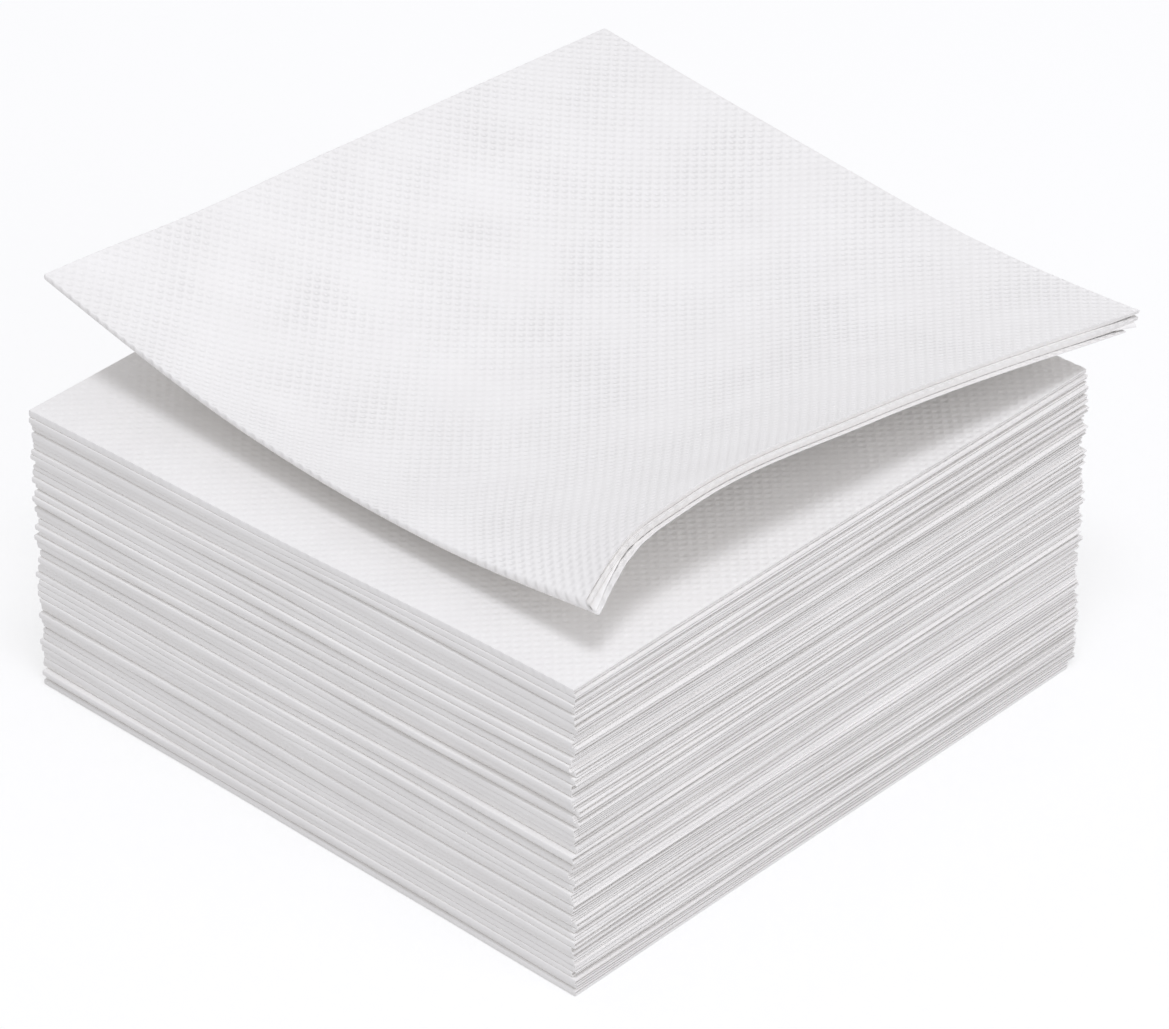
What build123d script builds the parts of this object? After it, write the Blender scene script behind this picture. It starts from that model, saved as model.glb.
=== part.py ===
from build123d import *
from math import atan, cos, radians, sin, sqrt
from random import Random
import os

# Sizes of one napkin, in millimetres: a square sheet folded twice, so four layers thick
side = 120.0
front_pitch = 1.20
back_pitch = 1.11
air_gap = 0.04
layer_gap = 0.05
middle_gap = 0.07
fold_wall = 0.25
second_fold_wall = 0.6

# The stack below the loose napkin
stacked_count = 49
slip = 0.45
slip_turn = 0.25
slip_seed = 5
pair_roundness = 0.09
roll_roundness = 0.22

# The loose napkin on top: where its middle lies on the stack, its turn and how much wider it is
loose_x = 11.9
loose_y = 3.6
loose_turn = -2.5
loose_slack = 5.0
loose_seat_gap = 0.3

# Its curl: heights of its underside above where it touches, from the front edge to the back edge,
# at stations from the smooth fold to the opposite cut edge. Steps are shares of the folded size.
steps_across = (0.0, 0.08, 0.2, 0.5, 1.0)
steps_along = (0.0, 0.25, 0.6, 1.0)
curl = (
    (8.0, 4.8, 5.9, 14.8),
    (12.9, 4.3, 2.4, 14.9),
    (14.8, 3.9, 0.4, 14.0),
    (12.5, 3.6, 0.4, 12.1),
    (3.1, 2.6, 4.6, 8.5),
)

# Its thickness: pressed flat, apart from the front edge, where its four layers stand apart. There it
# has one thickness for each station.
loose_thickness = 1.15
front_thickness = (2.2, 2.9, 3.1, 3.1, 3.1)
puff_reach = 0.45
loose_roundness = 0.3
loose_fold_wall = 0.1

# The gaps between its layers, where they show. Levels and openings are shares of the thickness,
# depths from the front and the back edge are shares of the folded size, and depths from the cut edge
# opposite the smooth fold are in stations.
gap_levels = (0.23, 0.5, 0.77)
front_gap_depth = 0.1
front_opening = 0.16
leaf_end = 0.97
leaf_depths = (0.12, 0.3, 0.16)
leaf_openings = (0.1, 0.14, 0.12)
back_gap = 0.12
back_gap_depth = 0.02
shut_leaf = 0.03
overrun = 0.01
curve_steps = 5

half = side / 2
loose_side = side + loose_slack
pitch_drop = front_pitch - back_pitch
middle_pitch = (front_pitch + back_pitch) / 2
dice = Random(slip_seed)


def stack_height(count, y):
    """Height of the top of the first count napkins at a place y."""
    return count * (middle_pitch - pitch_drop * y / side)


def seat_plane(count, x, y, turn):
    """The plane a napkin lies on when count napkins are below it."""
    lean = atan(count * pitch_drop / side)
    return Plane(
        origin=(x, y, stack_height(count, y)),
        x_dir=(cos(radians(turn)), sin(radians(turn)), 0),
        z_dir=(0, sin(lean), cos(lean)),
    )


def end_view(seat):
    """The upright plane through a seat's middle, seen along its X."""
    return Plane(origin=seat.origin, x_dir=seat.y_dir, z_dir=seat.x_dir)


def front_view(seat):
    """The upright plane through a seat's middle, seen along its Y."""
    return Plane(origin=seat.origin, x_dir=seat.x_dir, z_dir=-seat.y_dir)


def laid_out(heights, steps):
    """Plan places of the points of a strip of paper with these heights, measured from its middle."""
    places = [0.0]
    for low, high, start, end in zip(heights, heights[1:], steps, steps[1:]):
        paper = (end - start) * loose_side
        places.append(places[-1] + sqrt(paper**2 - (high - low) ** 2))
    return [place - places[-1] / 2 for place in places]


def mixed(row, station):
    """Value of a row at a station, which may lie between two of its entries or just past the last."""
    number = min(int(station), len(row) - 2)
    return row[number] + (row[number + 1] - row[number]) * (station - number)


def loose_plane(station):
    """Upright plane across the loose napkin at a station, with X from its front to its back edge."""
    seat = seat_plane(stacked_count, loose_x, loose_y, loose_turn)
    front_x = mixed(laid_out([row[0] for row in curl], steps_across), station)
    back_x = mixed(laid_out([row[-1] for row in curl], steps_across), station)
    heading = seat.x_dir * (back_x - front_x) + seat.y_dir * loose_side
    middle = seat.origin + seat.x_dir * (front_x + back_x) / 2 + seat.z_dir * loose_seat_gap
    return Plane(origin=middle, x_dir=heading, z_dir=heading.cross(seat.z_dir))


def loose_height(station, along):
    """Thickness of the loose napkin at a place on it."""
    puff = mixed(front_thickness, station) - loose_thickness
    return loose_thickness + puff * max(0.0, 1 - along / puff_reach) ** 2


def loose_outline(station):
    """Curves of the underside and the top of the loose napkin at a station, front edge first."""
    rises = [mixed([row[k] for row in curl], station) for k in range(len(steps_along))]
    places = laid_out(rises, steps_along)
    heights = [loose_height(station, along) for along in steps_along]
    under = list(zip(places, rises))
    over = [(place, rise + height) for (place, rise), height in zip(under, heights)]
    # The front edge is square to the paper, so where it curls up the underside reaches further out
    lean = atan((rises[0] - rises[1]) / (places[1] - places[0]))
    under[0] = (places[0] - heights[0] * sin(lean), rises[0] + heights[0] * (1 - cos(lean)))
    # Room for the folds at the back edge
    nose = loose_roundness * heights[-1] / 2
    under[-1] = (places[-1] - nose, rises[-1])
    over[-1] = (places[-1] - nose, rises[-1] + heights[-1])
    with BuildLine() as lines:
        Spline(*under)
        Spline(*over)
    return lines.edges()[0], lines.edges()[1], nose


def between(bottom, top, place, level):
    """Point at a level between two curves. A place before their start carries on along them."""
    inside = max(place, 0.0)
    point = (bottom @ inside) * (1 - level) + (top @ inside) * level
    heading = (bottom % inside) * (1 - level) + (top % inside) * level
    return point + heading * (place - inside) * loose_side


def loose_section(station):
    """Section across the loose napkin: cut square in front, with two stacked folds at the back."""
    bottom, top, nose = loose_outline(station)
    low, high = bottom @ 1, top @ 1
    half_gap = Vector(0, back_gap / 2)
    groove = (low + high) / 2
    lower_lip, upper_lip = groove - half_gap, groove + half_gap
    end = between(bottom, top, 1 - back_gap_depth, 0.5)
    with BuildSketch(loose_plane(station)) as section:
        with BuildLine():
            add([bottom, top])
            Polyline(low, (low + lower_lip) / 2 + Vector(nose, 0), lower_lip)
            Polyline(upper_lip, (upper_lip + high) / 2 + Vector(nose, 0), high)
            Polyline(lower_lip, end - half_gap, end + half_gap, upper_lip)
            Line(bottom @ 0, top @ 0)
        make_face()
    return section.sketch


def gap_section(station, start, end, level, opening):
    """Section of a gap at a level and as wide as an opening, between two shares of the way back."""
    bottom, top, nose = loose_outline(station)
    places = [start + (end - start) * step / curve_steps for step in range(curve_steps + 1)]
    sides = []
    for share in (level - opening / 2, level + opening / 2):
        sides.append([between(bottom, top, place, share) for place in places])
    with BuildSketch(loose_plane(station)) as section:
        with BuildLine():
            lower = Spline(*sides[0])
            upper = Spline(*sides[1])
            Line(lower @ 0, upper @ 0)
            Line(lower @ 1, upper @ 1)
        make_face()
    return section.sketch


os.makedirs("parts", exist_ok=True)

# Thickness of one pair of layers at the cut front and at the folded back
front_pair = (front_pitch - air_gap - middle_gap) / 2
back_pair = (back_pitch - air_gap - middle_gap) / 2
front_total = 2 * front_pair + middle_gap
back_total = 2 * back_pair + middle_gap

# The gaps between the layers: height at the front and the back, width, and how far back they reach
slits = (
    (front_pair / 2, back_pair / 2, layer_gap, half - fold_wall),
    (front_total / 2, back_total / 2, middle_gap, side),
    (front_total - front_pair / 2, back_total - back_pair / 2, layer_gap, half - fold_wall),
)
slit_left = -half + second_fold_wall

for number in range(1, stacked_count + 1):
    reach = slip if number > 1 else 0
    seat = seat_plane(
        number - 1,
        dice.uniform(-reach, reach),
        dice.uniform(-reach, reach),
        dice.uniform(-slip_turn, slip_turn),
    )
    with BuildPart() as napkin:
        # Two pairs of layers, each rounded at the back where the sheet was folded first
        with BuildSketch(end_view(seat)):
            nose = half - pair_roundness
            for lift_front, lift_back in ((0, 0), (front_pair + middle_gap, back_pair + middle_gap)):
                with BuildLine():
                    under = Line((-half, lift_front), (nose, lift_back))
                    over = Line((nose, lift_back + back_pair), (-half, lift_front + front_pair))
                    ThreePointArc(under @ 1, (half, lift_back + back_pair / 2), over @ 0)
                    Line(over @ 1, under @ 0)
                make_face()
            # The pairs hang together, and the gap between them is cut below
            with BuildLine():
                Polyline(
                    (-half, front_pair / 2),
                    (nose, back_pair / 2),
                    (nose, back_total - back_pair / 2),
                    (-half, front_total - front_pair / 2),
                    close=True,
                )
            make_face()
        extrude(amount=half, both=True)
        # The second fold is one smooth roll round all four layers
        with BuildSketch(front_view(seat)):
            with BuildLine():
                under = Line((half, 0), (-half + roll_roundness, 0))
                over = Line((-half + roll_roundness, front_total), (half, front_total))
                ThreePointArc(under @ 1, (-half, front_total / 2), over @ 0)
                Line(over @ 1, under @ 0)
            make_face()
        extrude(amount=side, both=True, mode=Mode.INTERSECT)
        # The gaps between the layers, open at the cut edges
        with BuildSketch(end_view(seat).offset(slit_left)):
            for front_z, back_z, gap, end in slits:
                slope = (back_z - front_z) / side
                start_z = front_z - slope * (side - half)
                end_z = front_z + slope * (end + half)
                with BuildLine():
                    Polyline(
                        (-side, start_z - gap / 2),
                        (end, end_z - gap / 2),
                        (end, end_z + gap / 2),
                        (-side, start_z + gap / 2),
                        close=True,
                    )
                make_face()
        extrude(amount=2 * side, mode=Mode.SUBTRACT)
    name = f"napkin_{number:02d}"
    napkin.part.label = name
    export_step(napkin.part, f"parts/{name}.step")

last = len(steps_across) - 1
past_end = last + overrun
with BuildPart() as top_napkin:
    loft([loose_section(station) for station in range(last + 1)], ruled=True)
    # The smooth fold closes the gap between the pairs
    closed_from = 1 - back_gap_depth - overrun
    loft([gap_section(station, closed_from, 1, 0.5, 0.5) for station in (0, loose_fold_wall)], ruled=True)
    # The layers come apart at the front edge and at the edge opposite the smooth fold
    # and the gap between the two pairs runs through to the groove between the folds at the back
    leaf_ends = (leaf_end, 1 - back_gap_depth, leaf_end)
    for level, end, depth, opening in zip(gap_levels, leaf_ends, leaf_depths, leaf_openings):
        stations = (loose_fold_wall, *range(1, last), past_end)
        front_gap = [
            gap_section(station, -overrun, front_gap_depth, level, front_opening) for station in stations
        ]
        loft(front_gap, ruled=True, mode=Mode.SUBTRACT)
        leaf_gap = [
            gap_section(last - depth, -overrun, end, level, shut_leaf),
            gap_section(past_end, -overrun, end, level, opening),
        ]
        loft(leaf_gap, ruled=True, mode=Mode.SUBTRACT)
top_napkin.part.label = "top_napkin"
export_step(top_napkin.part, "parts/top_napkin.step")
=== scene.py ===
import math

import bpy
import numpy as np
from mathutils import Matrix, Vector


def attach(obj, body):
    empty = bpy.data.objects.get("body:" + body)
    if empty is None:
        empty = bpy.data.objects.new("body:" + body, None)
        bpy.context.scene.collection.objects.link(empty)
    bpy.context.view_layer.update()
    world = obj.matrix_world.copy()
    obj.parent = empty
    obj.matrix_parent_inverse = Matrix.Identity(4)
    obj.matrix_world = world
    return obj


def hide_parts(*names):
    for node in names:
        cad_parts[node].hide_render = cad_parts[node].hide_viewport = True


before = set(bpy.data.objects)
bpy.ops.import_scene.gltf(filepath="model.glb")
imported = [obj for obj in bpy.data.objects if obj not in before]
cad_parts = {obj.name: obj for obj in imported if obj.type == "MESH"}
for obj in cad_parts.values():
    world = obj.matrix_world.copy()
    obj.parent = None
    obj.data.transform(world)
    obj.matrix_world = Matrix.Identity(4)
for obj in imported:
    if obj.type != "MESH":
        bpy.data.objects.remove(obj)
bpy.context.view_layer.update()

MM = 0.001
stacked_count = 49

# One pressed napkin, in millimetres, and how thick the stack is at its cut front and folded back
side = 120.0
front_pitch = 1.20
back_pitch = 1.11
middle_pitch = (front_pitch + back_pitch) / 2
pitch_drop = front_pitch - back_pitch
air_gap = 0.03
paper = 0.245

# How round its smooth fold and its first fold are: 1 is round, and less is flatter
roll_roundness = 0.8
fold_roundness = 0.85

# How far in from the cut front edge its layers are pinched together, and how much their middle ripples
# there as a share of the thickness
pinch_width = 1.6
split_ripple = 0.04

# The share of its solid's slip that a napkin keeps, and how far the lowest one stops short on the right
slip_share = 0.75
lowest_short = 1.5

# Seeds of the random draws: for the stack, and for napkin number 0, with 1 more for each later napkin
stack_seed = 11
napkin_seed = 100

# The faces between the napkins drift up and down from one to the next, with slow waves along them.
# The lowest few lie flatter, and the last few are set one by one.
drift_memory = 0.72
drift_size = 0.1
drift_limit = 0.3
last_drifts = (0.1, -0.1, -0.3, -0.28)
wave_count = 7
wave_height = 0.07
flatter_count = 6

# The loose napkin
loose_x = 11.9
loose_y = 3.6
loose_turn = -2.5
loose_side = 125.0
loose_seat_gap = 0.3
steps_across = (0.0, 0.08, 0.2, 0.5, 1.0)
steps_along = (0.0, 0.25, 0.6, 1.0)
curl = (
    (8.0, 4.8, 5.9, 14.8),
    (12.9, 4.3, 2.4, 14.9),
    (14.8, 3.9, 0.4, 14.0),
    (12.5, 3.6, 0.4, 12.1),
    (3.1, 2.6, 4.6, 8.5),
)
loose_thickness = 1.15
loose_paper = 0.2
front_thickness = (2.2, 2.9, 3.1, 3.1, 3.1)
puff_reach = 0.45

# Its folds: how round they are, how far they stand out as shares of half their height, and how far the
# outer and the inner layers lie from the middle of the smooth fold as shares of the thickness less one
# sheet
loose_roll_roundness = 1.0
loose_fold_roundness = 0.9
loose_roll_nose = 0.6
loose_fold_nose = 0.9
outer_ring = 0.5
inner_ring = 0.28

# Its four layers from the top one down, at the front edge: how deep the middle of each lies under the
# top face, and how far it stands out. One row for each share of the way from the smooth fold to the
# right. They stand out less and less over reach_width in from the edge.
layer_shares = (0.0, 0.12, 0.9, 1.0)
layer_depths = (
    (0.75, 1.3, 1.85, 2.4),
    (0.1, 1.15, 1.9, 2.6),
    (0.1, 1.15, 1.9, 2.6),
    (0.1, 1.25, 2.05, 2.95),
)
layer_reaches = (
    (0.0, 0.8, 1.7, 2.5),
    (0.0, 0.42, -0.9, 1.05),
    (0.0, 0.42, -0.9, 1.05),
    (0.0, 0.0, 0.1, 0.2),
)
reach_width = 25.0

# The lip of each layer at the front edge: how far it bends down, with a row for each of drop_shares, how
# far in from the edge it starts to bend, and how far it is tucked in
drop_shares = (0.0, 0.1, 0.95, 1.0)
layer_drops = (
    (0.32, 0.32, 0.32, 0.0),
    (0.85, 1.2, 0.2, 0.0),
    (0.85, 1.2, 0.2, 0.0),
    (0.5, 0.6, 0.65, 0.0),
)
lip_widths = (0.4, 0.36, 0.6, 1.0)
layer_tucks = (0.6, 0.6, 0.0, 0.0)

# How far each layer stops short of the cut edge on the right at its front and its back end, and how far
# that whole edge then reaches out
front_short = (0.0, 0.36, 1.2, 3.8)
back_short = (0.0, -0.5, 0.3, 0.8)
right_reach = 1.05

# Emboss: rows of small pits along the diagonals of the sheet, which fade out at its edges. The loose
# napkin's are deeper than those of the pressed napkin under it.
emboss_pitch = 1.55
emboss_depth = 0.12
emboss_fade = 1.5
loose_pits = 1.9
pressed_pits = 0.8
diagonal_pitch = emboss_pitch * math.sqrt(2)
emboss_step = diagonal_pitch / 4

# The same pits as shading only: their depth, and its share on each kind of napkin
bump_depth = 0.22
loose_bump = 1.0
embossed_bump = 0.42
plain_bump = 0.025

# Distances from a cut edge of the last few steps of a sheet, the radius that a fold takes up on the
# unfolded sheet, and the angle between two faces, in degrees, from which the edge between them is sharp
edge_steps = (2.5, 1.5, 0.8, 0.35, 0.0)
fine_edge_steps = (1.2, 0.8, 0.5, 0.35, 0.22, 0.12, 0.05, 0.0)
fold_radius = 0.4
sharp_angle = 55


def ripples(rng, waves, shortest, longest):
    """A smooth random curve, about one high, with waves of these lengths."""
    lengths = rng.uniform(shortest, longest, waves)
    phases = rng.uniform(0, 2 * np.pi, waves)

    def curve(place):
        total = np.zeros_like(place, dtype=float)
        for length, phase in zip(lengths, phases):
            total += np.sin(2 * np.pi * place / length + phase)
        return total / math.sqrt(waves)

    return curve


def fold_path(near_edge, steps_on_top, steps_below, steps_round, width):
    """Places along a strip of the sheet: in from the edge on top, round the fold, out to the edge below.

    Near each edge they are at the distances near_edge from it."""
    halves = []
    margin = 1 - np.array(near_edge) / width
    for steps in (steps_on_top, steps_below):
        halves.append(np.concatenate([np.linspace(0, margin[0], steps + 1)[:-1], margin]))
    top, below = halves[0][::-1], halves[1]
    arc = np.linspace(0, np.pi, steps_round + 1)[1:-1]
    share = np.concatenate([top, np.zeros(len(arc)), below])
    angle = np.concatenate([np.zeros(len(top)), arc, np.full(len(below), np.pi)])
    return np.round(share, 9), angle


def rounded(angle, roundness):
    """Height and depth round a fold, from 1 through 0 to -1, with a flatter nose for less roundness."""
    cosine, sine = np.cos(angle), np.sin(angle)
    return np.sign(cosine) * np.abs(cosine) ** roundness, np.abs(sine) ** roundness


def emboss(sheet_x, sheet_y):
    """Depth of the pits at a place of the unfolded sheet, from 0 to 1."""
    turn = 2 * np.pi / diagonal_pitch
    rising = 0.5 + 0.5 * np.cos(turn * (sheet_x + sheet_y))
    falling = 0.5 + 0.5 * np.cos(turn * (sheet_x - sheet_y))
    return rising * falling


def zip_strip(first, first_places, second, second_places):
    """Triangles between two rows of points that run the same way."""
    faces = []
    i = j = 0
    while i < len(first) - 1 or j < len(second) - 1:
        if j == len(second) - 1 or (i < len(first) - 1 and first_places[i + 1] <= second_places[j + 1]):
            faces.append((first[i], first[i + 1], second[j]))
            i += 1
        else:
            faces.append((first[i], second[j + 1], second[j]))
            j += 1
    return faces


def folded_sheet(name, lay, outer_steps, inner_steps, width, pit_strength):
    """One sheet folded twice, with an outer and an inner skin joined at its cut edges.

    lay(u, v, fold_a, fold_b, skin, pit) gives the points, with u and v as shares of the folded side, the
    angles round the two folds, 1 or -1 for the outer or the inner skin, and the depth of the pits."""
    points, sheet_places, faces, grids = [], [], [], []
    for skin, steps in ((1, outer_steps), (-1, inner_steps)):
        share, angle = fold_path(*steps, width)
        unrolled = share * np.sign(np.cos(angle)) + (np.pi / 2 - angle) * fold_radius / width
        u, v = np.meshgrid(share, share, indexing="ij")
        fold_a, fold_b = np.meshgrid(angle, angle, indexing="ij")
        sheet_x, sheet_y = np.meshgrid(unrolled * width, unrolled * width, indexing="ij")
        pit = np.zeros_like(u)
        if skin == 1 and pit_strength:
            on_top = (fold_a == 0) & (fold_b == 0)
            fade = np.clip(np.minimum(u, v) * width / emboss_fade, 0, 1)
            pit = np.where(on_top, pit_strength * emboss(sheet_x, sheet_y) * fade, 0)
        start = sum(len(p) for p in points)
        grid = start + np.arange(u.size).reshape(u.shape)
        points.append(lay(u, v, fold_a, fold_b, skin, pit).reshape(-1, 3))
        sheet_places.append(np.stack([sheet_x, sheet_y], -1).reshape(-1, 2))
        quads = np.stack([grid[:-1, :-1], grid[1:, :-1], grid[1:, 1:], grid[:-1, 1:]], -1).reshape(-1, 4)
        if skin == -1:
            quads = quads[:, ::-1]
        faces.extend(quads.tolist())
        grids.append((grid, unrolled))
    (outer, outer_places), (inner, inner_places) = grids
    for first, second in (
        (outer[0], inner[0]),
        (outer[-1], inner[-1]),
        (outer[:, 0], inner[:, 0]),
        (outer[:, -1], inner[:, -1]),
    ):
        faces.extend(zip_strip(first.tolist(), -outer_places, second.tolist(), -inner_places))
    points = np.concatenate(points) * MM
    sheet_places = np.concatenate(sheet_places)
    mesh = bpy.data.meshes.new(name)
    mesh.from_pydata(points.tolist(), [], faces)
    uv_layer = mesh.uv_layers.new(name="sheet")
    corner_points = np.zeros(len(mesh.loops), dtype=np.int32)
    mesh.loops.foreach_get("vertex_index", corner_points)
    uv_layer.data.foreach_set("uv", (sheet_places[corner_points] * MM).astype(np.float32).ravel())
    piece = bpy.data.objects.new(name, mesh)
    bpy.context.scene.collection.objects.link(piece)
    bpy.context.view_layer.objects.active = piece
    piece.select_set(True)
    bpy.ops.object.mode_set(mode="EDIT")
    bpy.ops.mesh.select_all(action="SELECT")
    bpy.ops.mesh.normals_make_consistent(inside=False)
    bpy.ops.object.mode_set(mode="OBJECT")
    piece.select_set(False)
    mesh.shade_smooth()
    mesh.set_sharp_from_angle(angle=math.radians(sharp_angle))
    return piece


# Drifts and waves of the faces between the pressed napkins
stack_rng = np.random.RandomState(stack_seed)
drift = np.zeros(stacked_count + 1)
for number in range(1, stacked_count):
    drift[number] = drift_memory * drift[number - 1] + stack_rng.normal(0, drift_size)
drift = np.clip(drift, -drift_limit, drift_limit)
drift[stacked_count - len(last_drifts) : stacked_count] = last_drifts
wave_turns = stack_rng.uniform(0, np.pi, wave_count)
wave_lengths = stack_rng.uniform(38, 120, wave_count)
wave_phases = stack_rng.uniform(0, 2 * np.pi, wave_count)
wave_steps = stack_rng.uniform(0.1, 0.55, wave_count)


def face_height(number, x, y):
    """Height of the face on top of this many napkins, in millimetres."""
    ground = number * (middle_pitch - pitch_drop * y / side)
    if number == 0:
        return ground
    wavy = np.zeros_like(x)
    for turn, length, phase, step in zip(wave_turns, wave_lengths, wave_phases, wave_steps):
        along = x * math.cos(turn) + y * math.sin(turn)
        wavy += np.sin(2 * np.pi * along / length + phase + step * number)
    share = min(number, flatter_count) / flatter_count
    return ground + share * (drift[number] + wave_height * wavy)


def node_place(node):
    """Middle and turn of a pressed napkin's solid, from its four corners."""
    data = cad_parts[node].data
    points = np.zeros(len(data.vertices) * 3)
    data.vertices.foreach_get("co", points)
    points = points.reshape(-1, 3) / MM
    corners = []
    for across, along in ((-1, -1), (1, -1), (1, 1), (-1, 1)):
        reach = points[:, 0] * across + points[:, 1] * along
        corners.append(points[np.argmax(reach), :2])
    corners = np.array(corners)
    middle = corners.mean(0)
    edge = corners[1] - corners[0] + corners[2] - corners[3]
    return middle, math.atan2(edge[1], edge[0])


def pressed_lay(number):
    """The points of a pressed napkin."""
    rng = np.random.RandomState(napkin_seed + number)
    middle, turn = node_place(f"napkin_{number:02d}")
    middle = slip_share * middle
    # The unevenness of its edges, in millimetres but for the pinch and the noses
    edges = [ripples(rng, 4, 45, 150) for _ in range(4)]
    edge_size = rng.uniform(0.05, 0.16, 4)
    shift = rng.uniform(-0.12, 0.12, 8)
    outer_proud = rng.uniform(0.0, 0.32)
    pair_shift = rng.uniform(-0.14, 0.14)
    pinch = rng.uniform(0.87, 0.97)
    split = rng.uniform(-0.07, 0.07)
    split_wave = ripples(rng, 3, 25, 90)
    roll_nose = rng.uniform(0.16, 0.34)
    fold_nose = rng.uniform(0.9, 1.5)
    short = lowest_short if number == 1 else 0.0

    def lay(u, v, fold_a, fold_b, skin, pit):
        high_a, deep_a = rounded(fold_a, roll_roundness)
        high_b, deep_b = rounded(fold_b, fold_roundness)
        thick = middle_pitch
        layer = thick / 8 + skin * paper / 2 - pit * emboss_depth
        reach = thick / 4 + layer * high_b
        at_front = np.clip(1 - (1 - v) * side / pinch_width, 0, 1) ** 2
        squeezed = 1 - (1 - pinch) * at_front
        rise = 0.5 + reach * high_a / thick * squeezed
        rise = rise + 4 * rise * (1 - rise) * (split + split_ripple * split_wave(u * side)) * at_front
        roll_depth = thick / 2 * roll_nose
        fold_depth = thick / 4 * fold_nose
        x = -side / 2 + roll_depth + u * (side - roll_depth) - reach * roll_nose * deep_a
        y = side / 2 - fold_depth - v * (side - fold_depth) + np.abs(layer) * fold_nose * deep_b
        x = x + u**3 * (shift[0] - short + shift[1] * high_a + shift[2] * high_b + shift[3] * high_a * high_b)
        y = y - v**3 * (shift[4] + pair_shift * high_a + outer_proud * high_b + shift[7] * high_a * high_b)
        x = x + edge_size[0] * edges[0](v * side) * (1 - u) ** 3 + edge_size[1] * edges[1](v * side) * u**3
        y = y + edge_size[2] * edges[2](u * side) * (1 - v) ** 3 + edge_size[3] * edges[3](u * side) * v**3
        world_x = middle[0] + x * math.cos(turn) - y * math.sin(turn)
        world_y = middle[1] + x * math.sin(turn) + y * math.cos(turn)
        low = face_height(number - 1, world_x, world_y)
        high = face_height(number, world_x, world_y) - air_gap
        return np.stack([world_x, world_y, low + (high - low) * rise], -1)

    return lay


def laid_out(heights, steps):
    """Plan places of the points of a strip of paper with these heights, measured from its middle."""
    places = [0.0]
    for low, high, start, end in zip(heights, heights[1:], steps, steps[1:]):
        places.append(places[-1] + math.sqrt(((end - start) * loose_side) ** 2 - (high - low) ** 2))
    return [place - places[-1] / 2 for place in places]


def blended(values, places, at):
    """A smooth curve through values at places, worked out at the points at."""
    values, places, at = np.asarray(values, float), np.asarray(places, float), np.asarray(at, float)
    gaps = np.diff(places)
    before, after = gaps[:-1, None], gaps[1:, None]
    rates = np.diff(values, axis=0) / gaps[:, None]
    slopes = np.empty_like(values)
    slopes[1:-1] = (rates[:-1] * after + rates[1:] * before) / (after + before)
    slopes[0] = 1.5 * rates[0] - 0.5 * slopes[1]
    slopes[-1] = 1.5 * rates[-1] - 0.5 * slopes[-2]
    number = np.clip(np.searchsorted(places, at, side="right") - 1, 0, len(gaps) - 1)
    gap = gaps[number]
    t = ((at - places[number]) / gap)[:, None]
    gap = gap[:, None]
    return (
        values[number] * (2 * t**3 - 3 * t**2 + 1)
        + slopes[number] * gap * (t**3 - 2 * t**2 + t)
        + values[number + 1] * (3 * t**2 - 2 * t**3)
        + slopes[number + 1] * gap * (t**3 - t**2)
    )


def loose_underside(u, v):
    """Underside of the loose napkin at rows of shares u across and v along it."""
    lean = math.atan(stacked_count * pitch_drop / side)
    turn = math.radians(loose_turn)
    seat_x = np.array([math.cos(turn), math.sin(turn), 0])
    seat_z = np.array([0, math.sin(lean), math.cos(lean)])
    seat_y = np.cross(seat_z, seat_x)
    seat_height = stacked_count * (middle_pitch - pitch_drop * loose_y / side)
    origin = np.array([loose_x, loose_y, seat_height]) + seat_z * loose_seat_gap
    front = laid_out([row[0] for row in curl], steps_across)
    back = laid_out([row[-1] for row in curl], steps_across)
    stations = []
    for row, front_x, back_x in zip(curl, front, back):
        heading = seat_x * (back_x - front_x) + seat_y * loose_side
        heading = heading / np.linalg.norm(heading)
        middle = origin + seat_x * (front_x + back_x) / 2
        places = laid_out(row, steps_along)
        knots = [middle + heading * place + seat_z * rise for place, rise in zip(places, row)]
        stations.append(blended(knots, steps_along, v))
    stations = np.array(stations)
    flat = blended(stations.reshape(len(stations), -1), steps_across, u)
    return flat.reshape(len(u), len(v), 3), seat_z


def of_layers(values, high_a, high_b):
    """One value for each of the four layers, from the top one down, as it holds on the sheet.

    Near the folds it passes smoothly from one layer to the next."""
    top, second, third, low = values
    upper = top * (1 + high_b) / 2 + second * (1 - high_b) / 2
    lower = low * (1 + high_b) / 2 + third * (1 - high_b) / 2
    return upper * (1 + high_a) / 2 + lower * (1 - high_a) / 2


def puff_share(v):
    """How far the layers have come apart at shares v of the way to the front edge, from 0 to 1."""
    return np.clip(1 - (1 - v) / puff_reach, 0, None) ** 2


def across_layers(rows, u, v, high_a, high_b, at_back):
    """A value of the loose napkin's four layers at its front edge, worked out everywhere on the sheet."""
    front = [np.interp(u, layer_shares, layer) for layer in zip(*rows)]
    values = [back + (value - back) * puff_share(v) for value, back in zip(front, at_back)]
    return of_layers(values, high_a, high_b)


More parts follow.
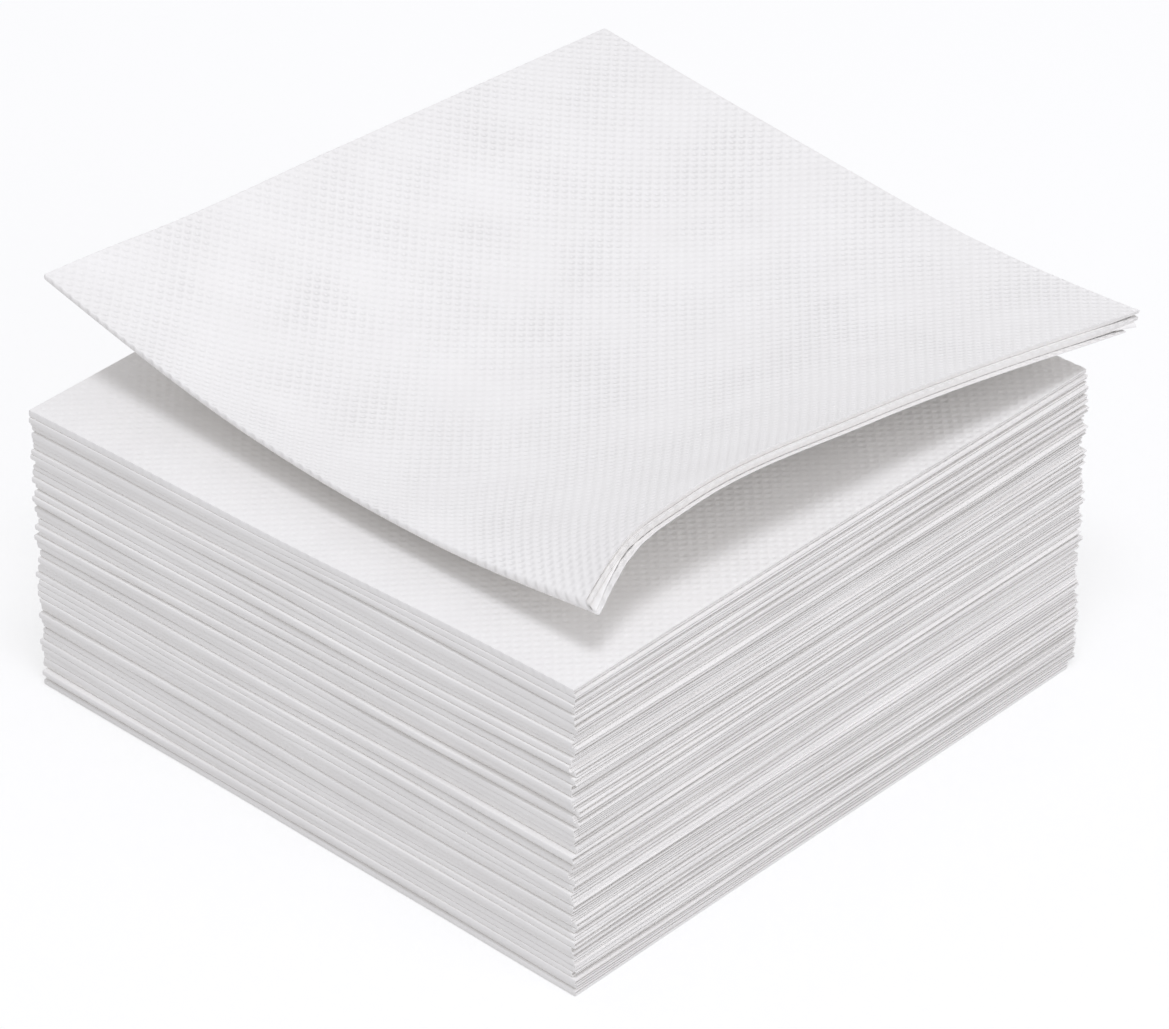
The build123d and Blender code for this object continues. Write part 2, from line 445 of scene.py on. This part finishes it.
def loose_lay(u, v, fold_a, fold_b, skin, pit):
    """The points of the loose napkin."""
    share = u[:, 0]
    share_b = np.round(1 - v[0], 9)
    order_u = np.unique(share)
    order_v = np.unique(share_b)
    base, up = loose_underside(order_u, order_v)
    across = np.gradient(base, order_u, axis=0)
    along = np.gradient(base, order_v, axis=1)
    across /= np.linalg.norm(across, axis=-1, keepdims=True)
    along /= np.linalg.norm(along, axis=-1, keepdims=True)
    pick = np.ix_(np.searchsorted(order_u, share), np.searchsorted(order_v, share_b))
    base, across, along = base[pick], across[pick], along[pick]
    high_a, deep_a = rounded(fold_a, loose_roll_roundness)
    high_b, deep_b = rounded(fold_b, loose_fold_roundness)
    front = np.interp(u, steps_across, front_thickness)
    thick = loose_thickness + (front - loose_thickness) * puff_share(v)
    spacing = (loose_thickness - loose_paper) / 3
    flat = [loose_paper / 2 + spacing * number for number in range(4)]
    depth = across_layers(layer_depths, u, v, high_a, high_b, flat)
    from_front = (1 - v) * loose_side
    lips = [np.clip(1 - from_front / width, 0, 1) ** 2 for width in lip_widths]
    drops = [np.interp(u, drop_shares, drop) * lip for drop, lip in zip(zip(*layer_drops), lips)]
    depth = depth + of_layers(drops, high_a, high_b)
    skin_depth = skin * loose_paper / 2 - pit * emboss_depth
    depth = depth - skin_depth * high_a * high_b
    roll_depth = thick / 2 * loose_roll_nose
    fold_depth = (spacing / 2 + loose_paper / 2) * loose_fold_nose
    ring = (thick - loose_paper) * (outer_ring * (1 + high_b) / 2 + inner_ring * (1 - high_b) / 2)
    ring = ring + skin_depth * high_b
    x = roll_depth * (1 - u) - ring * loose_roll_nose * deep_a
    y = (spacing / 2 + skin * loose_paper / 2) * loose_fold_nose * deep_b - fold_depth * (1 - v)
    out = across_layers(layer_reaches, u, v, high_a, high_b, (0.0, 0.0, 0.0, 0.0))
    y = y - out * np.clip(1 - from_front / reach_width, 0, 1)
    tucks = [tuck * lip for tuck, lip in zip(layer_tucks, lips)]
    y = y + of_layers(tucks, high_a, high_b)
    at_front = of_layers(front_short, high_a, high_b)
    at_back = of_layers(back_short, high_a, high_b)
    x = x - u**4 * (at_back + (at_front - at_back) * v**3) + right_reach * u**8
    rise = thick - depth
    return base + across * x[..., None] + along * y[..., None] + up * rise[..., None]


def worked_out(tree, operation, *values):
    """The result of a sum on these values, each of them a socket or a number."""
    node = tree.nodes.new("ShaderNodeMath")
    node.operation = operation
    for number, value in enumerate(values):
        if isinstance(value, bpy.types.NodeSocket):
            tree.links.new(value, node.inputs[number])
        else:
            node.inputs[number].default_value = value
    return node.outputs[0]


def noise(tree, place, scale, detail):
    """Smooth noise over a place."""
    node = tree.nodes.new("ShaderNodeTexNoise")
    node.inputs["Scale"].default_value = scale
    node.inputs["Detail"].default_value = detail
    tree.links.new(place, node.inputs["Vector"])
    return node.outputs["Fac"]


def bumped(tree, height, strength, distance):
    """A bump node with this height."""
    node = tree.nodes.new("ShaderNodeBump")
    node.inputs["Strength"].default_value = strength
    node.inputs["Distance"].default_value = distance
    tree.links.new(height, node.inputs["Height"])
    return node


def tissue_material(name, emboss_bump):
    """White two-ply tissue: soft fibres, faint cloudiness and rows of small pits."""
    material = bpy.data.materials.new(name)
    material.use_nodes = True
    tree = material.node_tree
    shader = tree.nodes["Principled BSDF"]
    shader.inputs["Roughness"].default_value = 0.92
    shader.inputs["Specular IOR Level"].default_value = 0.15
    place = tree.nodes.new("ShaderNodeTexCoord").outputs["Object"]
    tint = tree.nodes.new("ShaderNodeValToRGB")
    tint.color_ramp.elements[0].position = 0.3
    tint.color_ramp.elements[0].color = (0.905, 0.89, 0.868, 1)
    tint.color_ramp.elements[1].position = 0.7
    tint.color_ramp.elements[1].color = (0.93, 0.916, 0.894, 1)
    tree.links.new(noise(tree, place, scale=90, detail=4), tint.inputs["Fac"])
    tree.links.new(tint.outputs["Color"], shader.inputs["Base Color"])
    fibres = bumped(tree, noise(tree, place, scale=2600, detail=5), strength=0.05, distance=0.06 * MM)
    # Rows of pits along the diagonals of the sheet, a little stronger in some places than in others
    sheet = tree.nodes.new("ShaderNodeUVMap")
    sheet.uv_map = "sheet"
    parts = tree.nodes.new("ShaderNodeSeparateXYZ")
    tree.links.new(sheet.outputs["UV"], parts.inputs[0])
    rows = []
    for operation in ("ADD", "SUBTRACT"):
        diagonal = worked_out(tree, operation, parts.outputs["X"], parts.outputs["Y"])
        turned = worked_out(tree, "MULTIPLY", diagonal, 2 * math.pi / (diagonal_pitch * MM))
        wave = worked_out(tree, "COSINE", turned)
        rows.append(worked_out(tree, "MULTIPLY_ADD", wave, 0.5, 0.5))
    pits = worked_out(tree, "MULTIPLY", *rows)
    strength = tree.nodes.new("ShaderNodeMapRange")
    strength.inputs["From Min"].default_value = 0.3
    strength.inputs["From Max"].default_value = 0.7
    strength.inputs["To Min"].default_value = 0.4
    strength.inputs["To Max"].default_value = 1.3
    tree.links.new(noise(tree, sheet.outputs["UV"], scale=60, detail=2), strength.inputs["Value"])
    uneven = worked_out(tree, "MULTIPLY", pits, strength.outputs["Result"])
    embossed = bumped(tree, uneven, strength=emboss_bump, distance=bump_depth * MM)
    embossed.invert = True
    tree.links.new(fibres.outputs["Normal"], embossed.inputs["Normal"])
    tree.links.new(embossed.outputs["Normal"], shader.inputs["Normal"])
    return material


# Steps along each skin: those near its edges, then how many more are on top of its fold, below it and
# round it
plain_steps = (edge_steps, 24, 18, 6)
inner_steps = (edge_steps, 14, 14, 6)
embossed_steps = (fine_edge_steps, round((side - fine_edge_steps[0]) / emboss_step), 20, 8)
loose_steps = (fine_edge_steps, round((loose_side - fine_edge_steps[0]) / emboss_step), 30, 10)
loose_inner_steps = (edge_steps, 40, 30, 10)

loose_tissue = tissue_material("tissue", loose_bump)
embossed_tissue = tissue_material("flat_tissue", embossed_bump)
plain_tissue = tissue_material("pressed_tissue", plain_bump)

# Only the highest of the pressed napkins shows its top, so of these only its mesh has pits
for number in range(1, stacked_count + 1):
    node = f"napkin_{number:02d}"
    if number == stacked_count:
        steps, pits, finish = embossed_steps, pressed_pits, embossed_tissue
    else:
        steps, pits, finish = plain_steps, 0, plain_tissue
    piece = folded_sheet("paper_" + node, pressed_lay(number), steps, inner_steps, side, pits)
    piece.data.materials.append(finish)
    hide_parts(node)
    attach(piece, "root")

name = "paper_top_napkin"
loose = folded_sheet(name, loose_lay, loose_steps, loose_inner_steps, loose_side, loose_pits)
loose.data.materials.append(loose_tissue)
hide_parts("top_napkin")
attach(loose, "root")

# Floor, which glows a little where the camera sees it
bpy.ops.mesh.primitive_plane_add(size=12)
floor = bpy.context.object
floor.name = "floor"
floor_material = bpy.data.materials.new("floor")
floor_material.use_nodes = True
nodes, links = floor_material.node_tree.nodes, floor_material.node_tree.links
nodes.clear()
output = nodes.new("ShaderNodeOutputMaterial")
plain = nodes.new("ShaderNodeBsdfDiffuse")
plain.inputs["Color"].default_value = (0.8, 0.8, 0.8, 1)
seen = nodes.new("ShaderNodeBsdfDiffuse")
seen.inputs["Color"].default_value = (0.4, 0.4, 0.4, 1)
glow = nodes.new("ShaderNodeEmission")
glow.inputs["Color"].default_value = (1, 1, 1, 1)
glow.inputs["Strength"].default_value = 0.62
both = nodes.new("ShaderNodeAddShader")
links.new(seen.outputs[0], both.inputs[0])
links.new(glow.outputs[0], both.inputs[1])
path = nodes.new("ShaderNodeLightPath")
choice = nodes.new("ShaderNodeMixShader")
links.new(path.outputs["Is Camera Ray"], choice.inputs[0])
links.new(plain.outputs[0], choice.inputs[1])
links.new(both.outputs[0], choice.inputs[2])
links.new(choice.outputs[0], output.inputs["Surface"])
floor.data.materials.append(floor_material)

# Soft studio light
world = bpy.data.worlds.new("world")
bpy.context.scene.world = world
world.use_nodes = True
sky = world.node_tree.nodes["Background"]
sky.inputs["Color"].default_value = (0.965, 0.963, 1.0, 1)
sky.inputs["Strength"].default_value = 0.65
lit_place = (0, 0, 0.03)


def soft_lamp(name, place, size, power, colour):
    """A square lamp that faces the middle of the stack."""
    data = bpy.data.lights.new(name, "AREA")
    data.shape = "SQUARE"
    data.size = size
    data.energy = power
    data.color = colour
    lamp = bpy.data.objects.new(name, data)
    lamp.location = place
    lamp.rotation_mode = "QUATERNION"
    lamp.rotation_quaternion = (Vector(lit_place) - Vector(place)).to_track_quat("-Z", "Y")
    bpy.context.scene.collection.objects.link(lamp)


soft_lamp("high_front", (-0.29, -0.39, 1.49), size=0.45, power=7.6, colour=(0.92, 0.935, 1.0))
soft_lamp("low_right", (0.1, -1.3, 0.55), size=0.9, power=2.6, colour=(0.94, 0.945, 1.0))

# Camera, as the photograph was taken: its turn and tilt in degrees, the place it looks at and how far
# it stands from there in millimetres, and its focal length in widths of the picture
camera_turn = -46.63
camera_tilt = 34.75
looked_at = (5.03, -0.90, 30.0)
camera_distance = 1139.9
focal_widths = 7000 / 1169
sensor_width = 36
camera_data = bpy.data.cameras.new("camera")
camera_data.sensor_width = sensor_width
camera_data.lens = sensor_width * focal_widths
camera_data.clip_start = 0.05
camera_data.clip_end = 20
camera = bpy.data.objects.new("camera", camera_data)
turn, tilt = math.radians(camera_turn), math.radians(camera_tilt)
back = Vector((math.sin(turn) * math.cos(tilt), -math.cos(turn) * math.cos(tilt), math.sin(tilt)))
camera.location = (Vector(looked_at) + back * camera_distance) * MM
camera.rotation_mode = "QUATERNION"
camera.rotation_quaternion = (-back).to_track_quat("-Z", "Y")
bpy.context.scene.collection.objects.link(camera)
bpy.context.scene.camera = camera

bpy.context.scene.view_settings.view_transform = "Standard"
